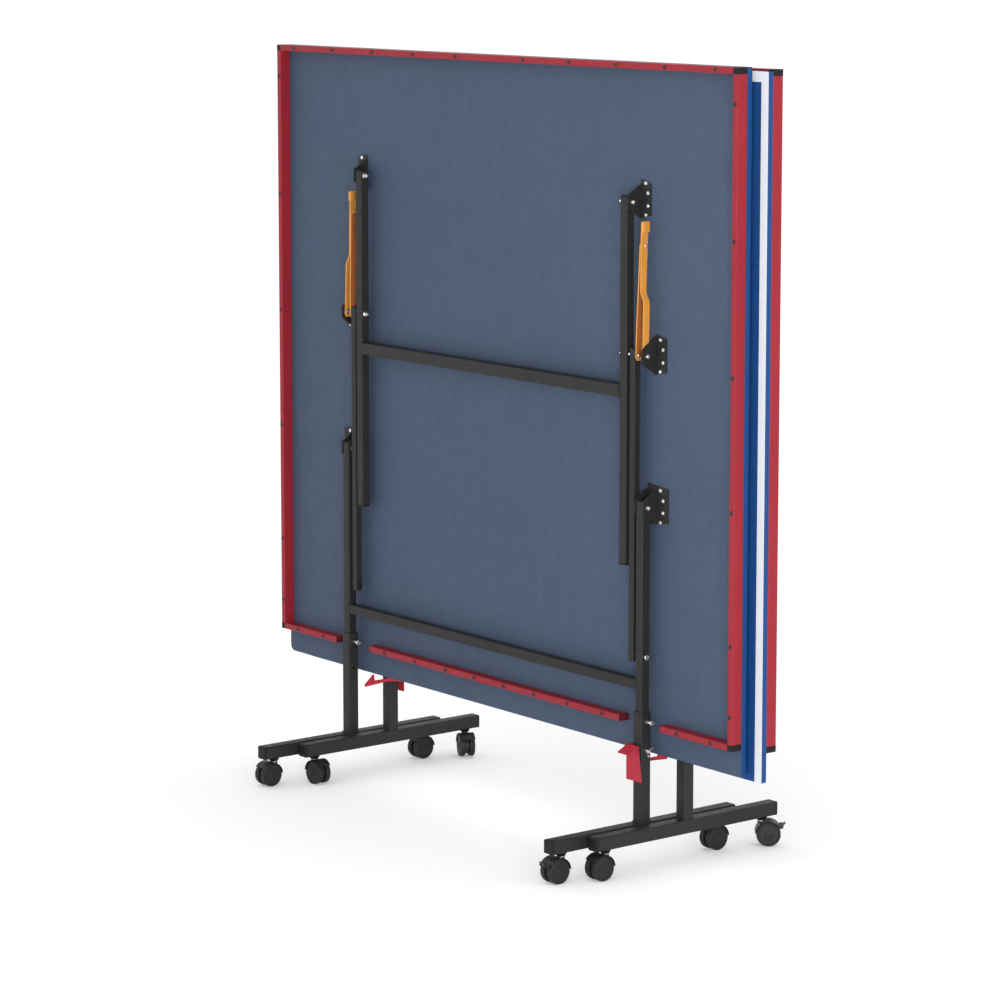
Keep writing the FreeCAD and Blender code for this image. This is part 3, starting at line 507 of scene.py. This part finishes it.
            # latch bolt with wing nut
            pins.add(*threaded(3.0, 0, 51), matrix=aim((x - 26, PIV, 234), "X"))
            pins.add(*hexnut(6.2, 0, 3.6), matrix=aim((x - 22.6, PIV, 234), "-X", 0.2))
            pins.add(*lathe([(0, 0), (5.0, 0), (5.0, 6.8), (0, 6.8)], 20), matrix=aim((x - 19.6, PIV, 234), "X"))
            pins.add(*lathe([(0, 0), (5.6, 0), (5.9, 1.0), (4.6, 6.5), (4.0, 8.0), (0, 8.0)], 24), matrix=aim((x + 12.6, PIV, 234), "X"))
            wing = [(-3.2, 0.5), (3.2, 0.5), (4.6, 3.0), (8.6, 8.2), (11.5, 12.6), (11.0, 15.2), (8.4, 15.8), (6.0, 13.4), (3.6, 8.4), (1.4, 6.8),
                    (-1.4, 6.8), (-3.6, 8.4), (-6.0, 13.4), (-8.4, 15.8), (-11.0, 15.2), (-11.5, 12.6), (-8.6, 8.2), (-4.6, 3.0)]
            v, f = prism(wing, -1.3, 1.3)
            turn = Matrix.Rotation(math.radians(55), 4, "X")
            pins.add([(p[1], p[0], p[2]) for p in v], f, matrix=Matrix.Translation(Vector((x + 12.6, PIV, 234))) @ turn)
    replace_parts(bolts.piece(prefix + "board_bolt_set", "zinc", board_body, H, 30), prefix + "board_bolts")
    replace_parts(pins.piece(prefix + "carriage_bolt_set", "zinc", carriage, H, 30), prefix + "carriage_bolts")
    spacers_post.piece(prefix + "post_spacers", "cap", carriage, H, 30)
    spacers_leg.piece(prefix + "leg_spacers", "cap", prefix + "legs", H, 30)
    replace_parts(legs_ends.piece(prefix + "leg_bolt_set", "zinc", prefix + "legs", H, 30), prefix + "leg_bolts")

    # ---------------------------------------------------------------- welds
    def bead(shape, ring, r, ripple=5):
        """Weld bead: a rippled tube along a closed ring of points."""
        pts = []
        n = len(ring)
        for i in range(n):
            a, b = Vector(ring[i]), Vector(ring[(i + 1) % n])
            steps = max(2, int((b - a).length / 1.6))
            pts += [a.lerp(b, k / steps) for k in range(steps)]
        verts, faces = [], []
        m = 8
        cnt = len(pts)
        for i, p in enumerate(pts):
            t = (pts[(i + 1) % cnt] - pts[i - 1]).normalized()
            u = t.orthogonal().normalized()
            w = t.cross(u)
            rr = r * (1.0 + 0.16 * math.sin(i * 2 * math.pi / ripple))
            for k in range(m):
                a = 2 * math.pi * k / m
                verts.append(p + u * (rr * math.cos(a)) + w * (rr * math.sin(a)))
        for i in range(cnt):
            j = (i + 1) % cnt
            for k in range(m):
                l = (k + 1) % m
                faces.append((i * m + k, i * m + l, j * m + l, j * m + k))
        shape.add(verts, faces)

    low_welds, leg_welds = Shape(), Shape()
    for side in "LR":
        x = at(side, POST_S)
        h = 12.5
        bead(low_welds, [(x - h, PIV - h, 88), (x + h, PIV - h, 88), (x + h, PIV + h, 88), (x - h, PIV + h, 88)], 1.5)
        sgn = 1 if side == "L" else -1
        h = 10
        xw = x + sgn * 10
        bead(low_welds, [(xw, PIV - h, 356), (xw, PIV + h, 356), (xw, PIV + h, 376), (xw, PIV - h, 376)], 1.3)
        xw = at(side, 329)
        h = 12.5
        bead(leg_welds, [(xw, PIV - 9.5, 949 - h), (xw, PIV + 9.5, 949 - h), (xw, PIV + 9.5, 949 + h), (xw, PIV - 9.5, 949 + h)], 1.3)
    low_welds.piece(prefix + "post_welds", "black", carriage, H, 60)
    leg_welds.piece(prefix + "leg_welds", "black", prefix + "legs", H, 60)

    # ---------------------------------------------------------------- folding stays
    knee = Z_B + 212

    def channel(shape, side, rows, t=1.3, inboard=True):
        """U section lofted over rows of (z, outboard inset, inboard inset, y front, y back). The web is on the outboard side
        and the lips turn inboard, or the other way round."""
        verts, faces = [], []
        for z, s0, s1, yf, yb in rows:
            if not inboard:
                s0, s1 = s1, s0
            k = t if inboard else -t
            loop = [(s0, yf), (s1, yf), (s1, yf + t), (s0 + k, yf + t), (s0 + k, yb - t), (s1, yb - t), (s1, yb), (s0, yb)]
            verts += [(at(side, s), y, z) for s, y in loop]
        n = len(rows)
        for i in range(n - 1):
            for k in range(8):
                l = (k + 1) % 8
                faces.append((i * 8 + k, i * 8 + l, (i + 1) * 8 + l, (i + 1) * 8 + k))
        for e in (0, (n - 1) * 8):
            faces += [(e + 0, e + 1, e + 2, e + 3), (e + 0, e + 3, e + 4, e + 7), (e + 4, e + 5, e + 6, e + 7)]
        shape.add(verts, faces)

    def plate(shape, side, outline, s0, s1):
        """(y, z) outline between two insets."""
        v, f = prism(outline, s0, s1)
        shape.add([(at(side, p[2]), p[0], p[1]) for p in v], f)

    def smooth(points, cuts=3):
        """Rounds an outline by corner cutting."""
        for _ in range(cuts):
            new = []
            n = len(points)
            for i in range(n):
                a, b = Vector(points[i]), Vector(points[(i + 1) % n])
                new += [tuple(a.lerp(b, 0.25)), tuple(a.lerp(b, 0.75))]
            points = new
        return points

    up, lo, shade_liners, rivets = Shape(), Shape(), Shape(), Shape()
    for side in "LR":
        # upper link: a strip with its web outboard and shallow lips, jogged outboard below the joint with the lower link
        rows = [(Z_B - 11, 261.2, 264.0, PIV - 4.0, PIV + 5.0), (Z_B - 4, 261.2, 264.2, PIV - 6.8, PIV + 7.6), (Z_B + 30, 261.4, 264.4, PIV - 5.4, PIV + 8.8),
                (Z_B + 70, 261.8, 264.8, PIV - 4.4, PIV + 10.0), (knee - 109, 262.2, 265.2, PIV - 3.8, PIV + 11.0), (knee - 104, 263.4, 266.4, PIV - 3.6, PIV + 11.2),
                (knee - 95, 269.0, 272.0, PIV - 3.2, PIV + 11.0), (knee - 88, 272.4, 275.4, PIV - 2.8, PIV + 11.4), (knee - 80, 273.2, 276.2, PIV - 2.6, PIV + 11.6),
                (knee - 40, 273.4, 276.4, PIV - 2.2, PIV + 12.8), (knee + 14, 273.6, 276.6, PIV - 1.6, PIV + 15.0), (knee + 31, 273.6, 276.6, PIV - 1.2, PIV + 15.4)]
        channel(up, side, rows, 1.3, True)
        # lower link: web inboard, open towards the outside, slants inboard down to the leg bolt
        rows = [(Z_B - 11, 281.4, 283.8, PIV - 4.0, PIV + 4.0), (Z_B - 4, 281.3, 283.8, PIV - 7.6, PIV + 7.6), (Z_B + 60, 280.4, 283.0, PIV - 6.6, PIV + 9.0),
                (knee - 100, 279.0, 281.6, PIV - 4.8, PIV + 10.6), (knee - 50, 278.2, 280.8, PIV - 3.2, PIV + 11.8), (knee + 4, 277.4, 280.0, PIV - 1.6, PIV + 13.4),
                (knee + 12, 277.4, 280.0, PIV + 2.0, PIV + 10.0)]
        channel(lo, side, rows, 1.2, False)
        # thin sheets on both faces of the lower link's web, in the darker orange: painted shade where the web sits in
        # shade
        for d0, d1 in ((-1.55, -1.1), (-0.1, 0.25)):
            liner = []
            for z, s0, s1, yf, yb in rows[1:-1]:
                liner.append([(at(side, s1 + d0), yf + 1.25, z), (at(side, s1 + d0), yb - 1.25, z), (at(side, s1 + d1), yb - 1.25, z), (at(side, s1 + d1), yf + 1.25, z)])
            faces = [(0, 1, 2, 3), tuple(len(liner) * 4 - 4 + k for k in range(4))]
            for i in range(len(liner) - 1):
                for k in range(4):
                    l = (k + 1) % 4
                    faces.append((i * 4 + k, i * 4 + l, i * 4 + 4 + l, i * 4 + 4 + k))
            shade_liners.add([p for r in liner for p in r], faces)
        out = "-X" if side == "L" else "X"
        rivets.add(*lathe([(0, 2.0), (1.6, 1.9), (2.8, 1.3), (3.3, 0.3), (3.3, -5.5), (0, -5.5)], 20), matrix=aim((at(side, 273.5), PIV + 9.5, knee + 4), out))
    ob = up.piece(prefix + "stay_upper_strips", "orange", prefix + "stay_upper", H, 40, 0.35)
    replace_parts(ob, prefix + "stay_upper_links")
    ob = lo.piece(prefix + "stay_lower_strips", "orange", prefix + "stay_lower", H, 40, 0.3)
    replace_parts(ob, prefix + "stay_lower_links")
    # the sheets on the lower link's web carry painted shade
    shade_liners.piece(prefix + "stay_lower_painted_shade_liners", "orange_painted_shade", prefix + "stay_lower", H, 40)
    rivets.piece(prefix + "stay_rivets", "zinc", prefix + "stay_upper", H, 40)
    grips = Shape()
    for side in "LR":
        cy, cz = PIV + 8.0, knee + 40.5
        body = []
        for qy, qz, a0 in ((5.6, 7.4, 0), (-5.6, 7.4, 90), (-5.6, -7.4, 180), (5.6, -7.4, 270)):
            for k in range(5):
                a = math.radians(a0 + 22.5 * k)
                body.append((cy + qy + 4.0 * math.cos(a), cz + qz + 4.0 * math.sin(a)))
        n = len(body)
        rings = []
        steps = ((269.8, 0.84), (270.2, 0.93), (271.1, 0.985), (272.2, 1.0), (274.6, 1.0), (275.6, 0.985), (276.3, 0.93), (276.6, 0.84))
        for s, k in steps:
            rings.append([(at(side, s), cy + (y - cy) * k, cz + (z - cz) * k) for y, z in body])
        verts = [p for r in rings for p in r]
        faces = [tuple(range(n)), tuple(range(n * (len(steps) - 1), n * len(steps)))]
        for i in range(len(steps) - 1):
            for k in range(n):
                l = (k + 1) % n
                faces.append((i * n + k, i * n + l, (i + 1) * n + l, (i + 1) * n + k))
        grips.add(verts, faces)
    grips.piece(prefix + "stay_grips", "orange", prefix + "stay_upper", H, 50)


# ---------------------------------------------------------------- casters
POSTS = {"left": -515.0, "right": 478.0}
TURNS = {"front_": {"left_near": -90, "left_far": -90, "right_near": -90, "right_far": -90},
         "rear_": {"left_near": 50, "left_far": -90, "right_near": -25, "right_far": 0}}


def arc(r, a0, a1, n, cx=14.5, cz=25.0):
    return [(cx + r * math.cos(math.radians(a0 + (a1 - a0) * i / n)), cz + r * math.sin(math.radians(a0 + (a1 - a0) * i / n))) for i in range(n + 1)]


for prefix, sgn in (("front_", 1), ("rear_", -1)):
    for side in ("left", "right"):
        for pos in ("near", "far"):
            x = POSTS[side] * sgn
            y = (PIV + (207.0 if pos == "far" else -207.0)) * sgn
            base = prefix + side + "_" + pos
            place = Matrix.Translation(Vector((x, y, 0))) @ Matrix.Rotation(math.radians(TURNS[prefix][side + "_" + pos]), 4, "Z")
            # wheels: tread with side grooves, dished disc, hub boss with a cap
            w = Shape()
            for d in (-1, 1):
                prof = [(0, 5.0), (6.0, 5.0), (6.6, 6.2), (20.0, 6.2), (20.8, 5.2), (23.4, 5.0), (24.5, 5.5), (25.0, 6.6), (25.0, 9.6), (24.7, 10.0),
                        (24.7, 10.6), (25.0, 11.0), (25.0, 14.6), (24.5, 15.8), (23.3, 16.5), (21.2, 16.5), (20.6, 16.1), (20.2, 15.2), (12.0, 15.0),
                        (8.2, 15.4), (7.6, 16.2), (7.0, 16.5), (4.2, 16.5), (3.8, 16.1), (0, 16.0)]
                m = place @ Matrix.Translation(Vector((14.5, 0, 25))) @ Matrix.Rotation(-math.pi / 2 * d, 4, "X")
                w.add(*lathe(prof, 56), matrix=m)
            w.add(*lathe([(0, -6), (3.0, -6), (3.0, 6), (0, 6)], 20), matrix=place @ Matrix.Translation(Vector((14.5, 0, 25))) @ Matrix.Rotation(-math.pi / 2, 4, "X"))
            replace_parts(w.piece(base + "_twin_wheels", "wheel", base + "_wheel", None, 28), base + "_wheels")
            # housing: hood shell, centre web, neck
            h = Shape()

            def shell(outline, y0, y1):
                v, f = prism(outline, y0, y1)
                h.add([(p[0], p[2], p[1]) for p in v], f, matrix=place)

            hood = arc(27.5, 38, 175, 30) + list(reversed(arc(26.0, 38, 175, 30)))
            n = 31
            verts, faces = [], []
            ys = [(-17.5, 0.5), (-17.0, 0.0), (17.0, 0.0), (17.5, 0.5)]
            for yy, inset in ys:
                for a in range(n):
                    ang = math.radians(38 + 137 * a / 30)
                    verts.append((14.5 + (27.5 - inset) * math.cos(ang), yy, 25 + (27.5 - inset) * math.sin(ang)))
                for a in range(n):
                    ang = math.radians(38 + 137 * a / 30)
                    verts.append((14.5 + 26.0 * math.cos(ang), yy, 25 + 26.0 * math.sin(ang)))
            L = 2 * n
            for k in range(len(ys) - 1):
                for a in range(n - 1):
                    faces.append((k * L + a, k * L + a + 1, (k + 1) * L + a + 1, (k + 1) * L + a))
                    faces.append((k * L + n + a, (k + 1) * L + n + a, (k + 1) * L + n + a + 1, k * L + n + a + 1))
                faces.append((k * L, (k + 1) * L, (k + 1) * L + n, k * L + n))
                faces.append((k * L + n - 1, k * L + 2 * n - 1, (k + 1) * L + 2 * n - 1, (k + 1) * L + n - 1))
            for a in range(n - 1):
                faces.append((a, n + a, n + a + 1, a + 1))
                e = 3 * L
                faces.append((e + a, e + a + 1, e + n + a + 1, e + n + a))
            h.add(verts, faces, matrix=place)
            shell(arc(26.6, 40, 173, 24) + arc(19.5, 173, 400, 30), -4, 4)
            h.add(*lathe([(0, 44.5), (8.2, 47.2), (8.2, 49.6), (7.4, 50.6), (0, 50.6)], 28), matrix=place)
            braked = base in ("front_right_near", "rear_left_near")
            if braked:
                for y0, y1 in ((-11.5, -9.0), (9.0, 11.5)):
                    lug = arc(4.6, -60, 240, 14, 40.5, 40.0)
                    shell(lug, y0, y1)
            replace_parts(h.piece(base + "_hood", "caster", base + "_swivel", None, 30, 0.3), base + "_caster")
            z = Shape()
            z.add(*lathe([(0, 50.4), (7.6, 50.4), (8.0, 50.8), (8.0, 52.2), (7.6, 52.6), (4.0, 52.6), (4.0, 58.0), (0, 58.0)], 28), matrix=place)
            z.piece(base + "_ring", "zinc", base + "_swivel", None, 35)
            if braked:
                b = Shape()
                side_line = [(-3.2, 0.6), (-2.2, 2.9), (0.4, 3.3), (3.6, 3.5), (7.0, 5.4), (9.4, 6.2), (9.9, 4.8), (7.6, 3.0), (4.6, 0.6), (3.1, -1.2), (1.2, -3.0),
                             (-1.8, -2.7)]
                side_line = smooth(side_line, 2)
                v, f = prism(side_line, -6.4, 6.4)
                tilt = Matrix.Translation(Vector((40.5, 0, 40.0))) @ Matrix.Rotation(math.radians(-10), 4, "Y")
                b.add([(p[0], p[2], p[1]) for p in v], f, matrix=place @ tilt)
                for k in range(3):
                    ridge = [(4.2 + 1.6 * k, 3.4 + 0.9 * k), (4.9 + 1.6 * k, 4.7 + 0.9 * k), (5.6 + 1.6 * k, 4.4 + 0.9 * k), (5.5 + 1.6 * k, 3.4 + 0.9 * k)]
                    v, f = prism(ridge, -5.4, 5.4)
                    b.add([(p[0], p[2], p[1]) for p in v], f, matrix=place @ tilt)
                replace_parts(b.piece(base + "_brake_pedal", "caster", base + "_lever", None, 40, 0.25), base + "_brake_lever")


# ---------------------------------------------------------------- floor, light, camera
floor_mesh = bpy.data.meshes.new("floor")
floor_mesh.from_pydata([(-30, -30, 0), (30, -30, 0), (30, 30, 0), (-30, 30, 0)], [], [(0, 1, 2, 3)])
floor = bpy.data.objects.new("floor", floor_mesh)
scene.collection.objects.link(floor)
fm = Net("floor_paper")
fm.bsdf.inputs["Roughness"].default_value = 0.85
fm.bsdf.inputs["Emission Color"].default_value = (1.0, 1.0, 1.0, 1.0)
fm.bsdf.inputs["Emission Strength"].default_value = 0.16
tone = fm.mix(fm.remap(fm.noise(0.8, 3.0), 0.3, 0.7, 0.0, 1.0), (0.88, 0.88, 0.88, 1), (0.90, 0.90, 0.90, 1))
fm.link(tone, fm.bsdf.inputs["Base Color"])
floor_mesh.materials.append(fm.mat)

world = bpy.data.worlds.new("studio")
scene.world = world
world.use_nodes = True
bg = world.node_tree.nodes["Background"]
bg.inputs[0].default_value = (1.0, 1.0, 1.0, 1.0)
bg.inputs[1].default_value = 1.02


def area(name, loc, target, size, power, colour=(1, 1, 1)):
    data = bpy.data.lights.new(name, "AREA")
    data.shape = "RECTANGLE"
    data.size, data.size_y = size
    data.energy = power
    data.color = colour
    ob = bpy.data.objects.new(name, data)
    ob.location = loc
    ob.rotation_euler = (Vector(target) - Vector(loc)).to_track_quat("-Z", "Y").to_euler()
    scene.collection.objects.link(ob)
    return ob


area("key", (-3.2, -5.2, 3.2), (0, 0, 0.6), (2.6, 2.6), 10)
area("fill", (4.4, -2.9, 0.9), (0.1, 0, 0.6), (2.2, 1.4), 175)
area("side", (5.0, 1.5, 2.6), (0.5, 0, 0.8), (2.4, 2.0), 12)

yaw, pitch = math.radians(51.91), math.radians(7.83)
back = Vector((math.sin(yaw) * math.cos(pitch), -math.cos(yaw) * math.cos(pitch), math.sin(pitch)))
right = Vector((math.cos(yaw), math.sin(yaw), 0))
upv = back.cross(right)
cam_data = bpy.data.cameras.new("camera")
cam = bpy.data.objects.new("camera", cam_data)
scene.collection.objects.link(cam)
cam.matrix_world = Matrix(((right.x, upv.x, back.x, 5.666), (right.y, upv.y, back.y, -4.466), (right.z, upv.z, back.z, 1.873), (0, 0, 0, 1)))
cam_data.sensor_width = 36.0
cam_data.lens = 126.2
cam_data.shift_y = -0.10
cam_data.clip_end = 100.0
scene.camera = cam

scene.view_settings.view_transform = "Standard"
scene.view_settings.look = "None"
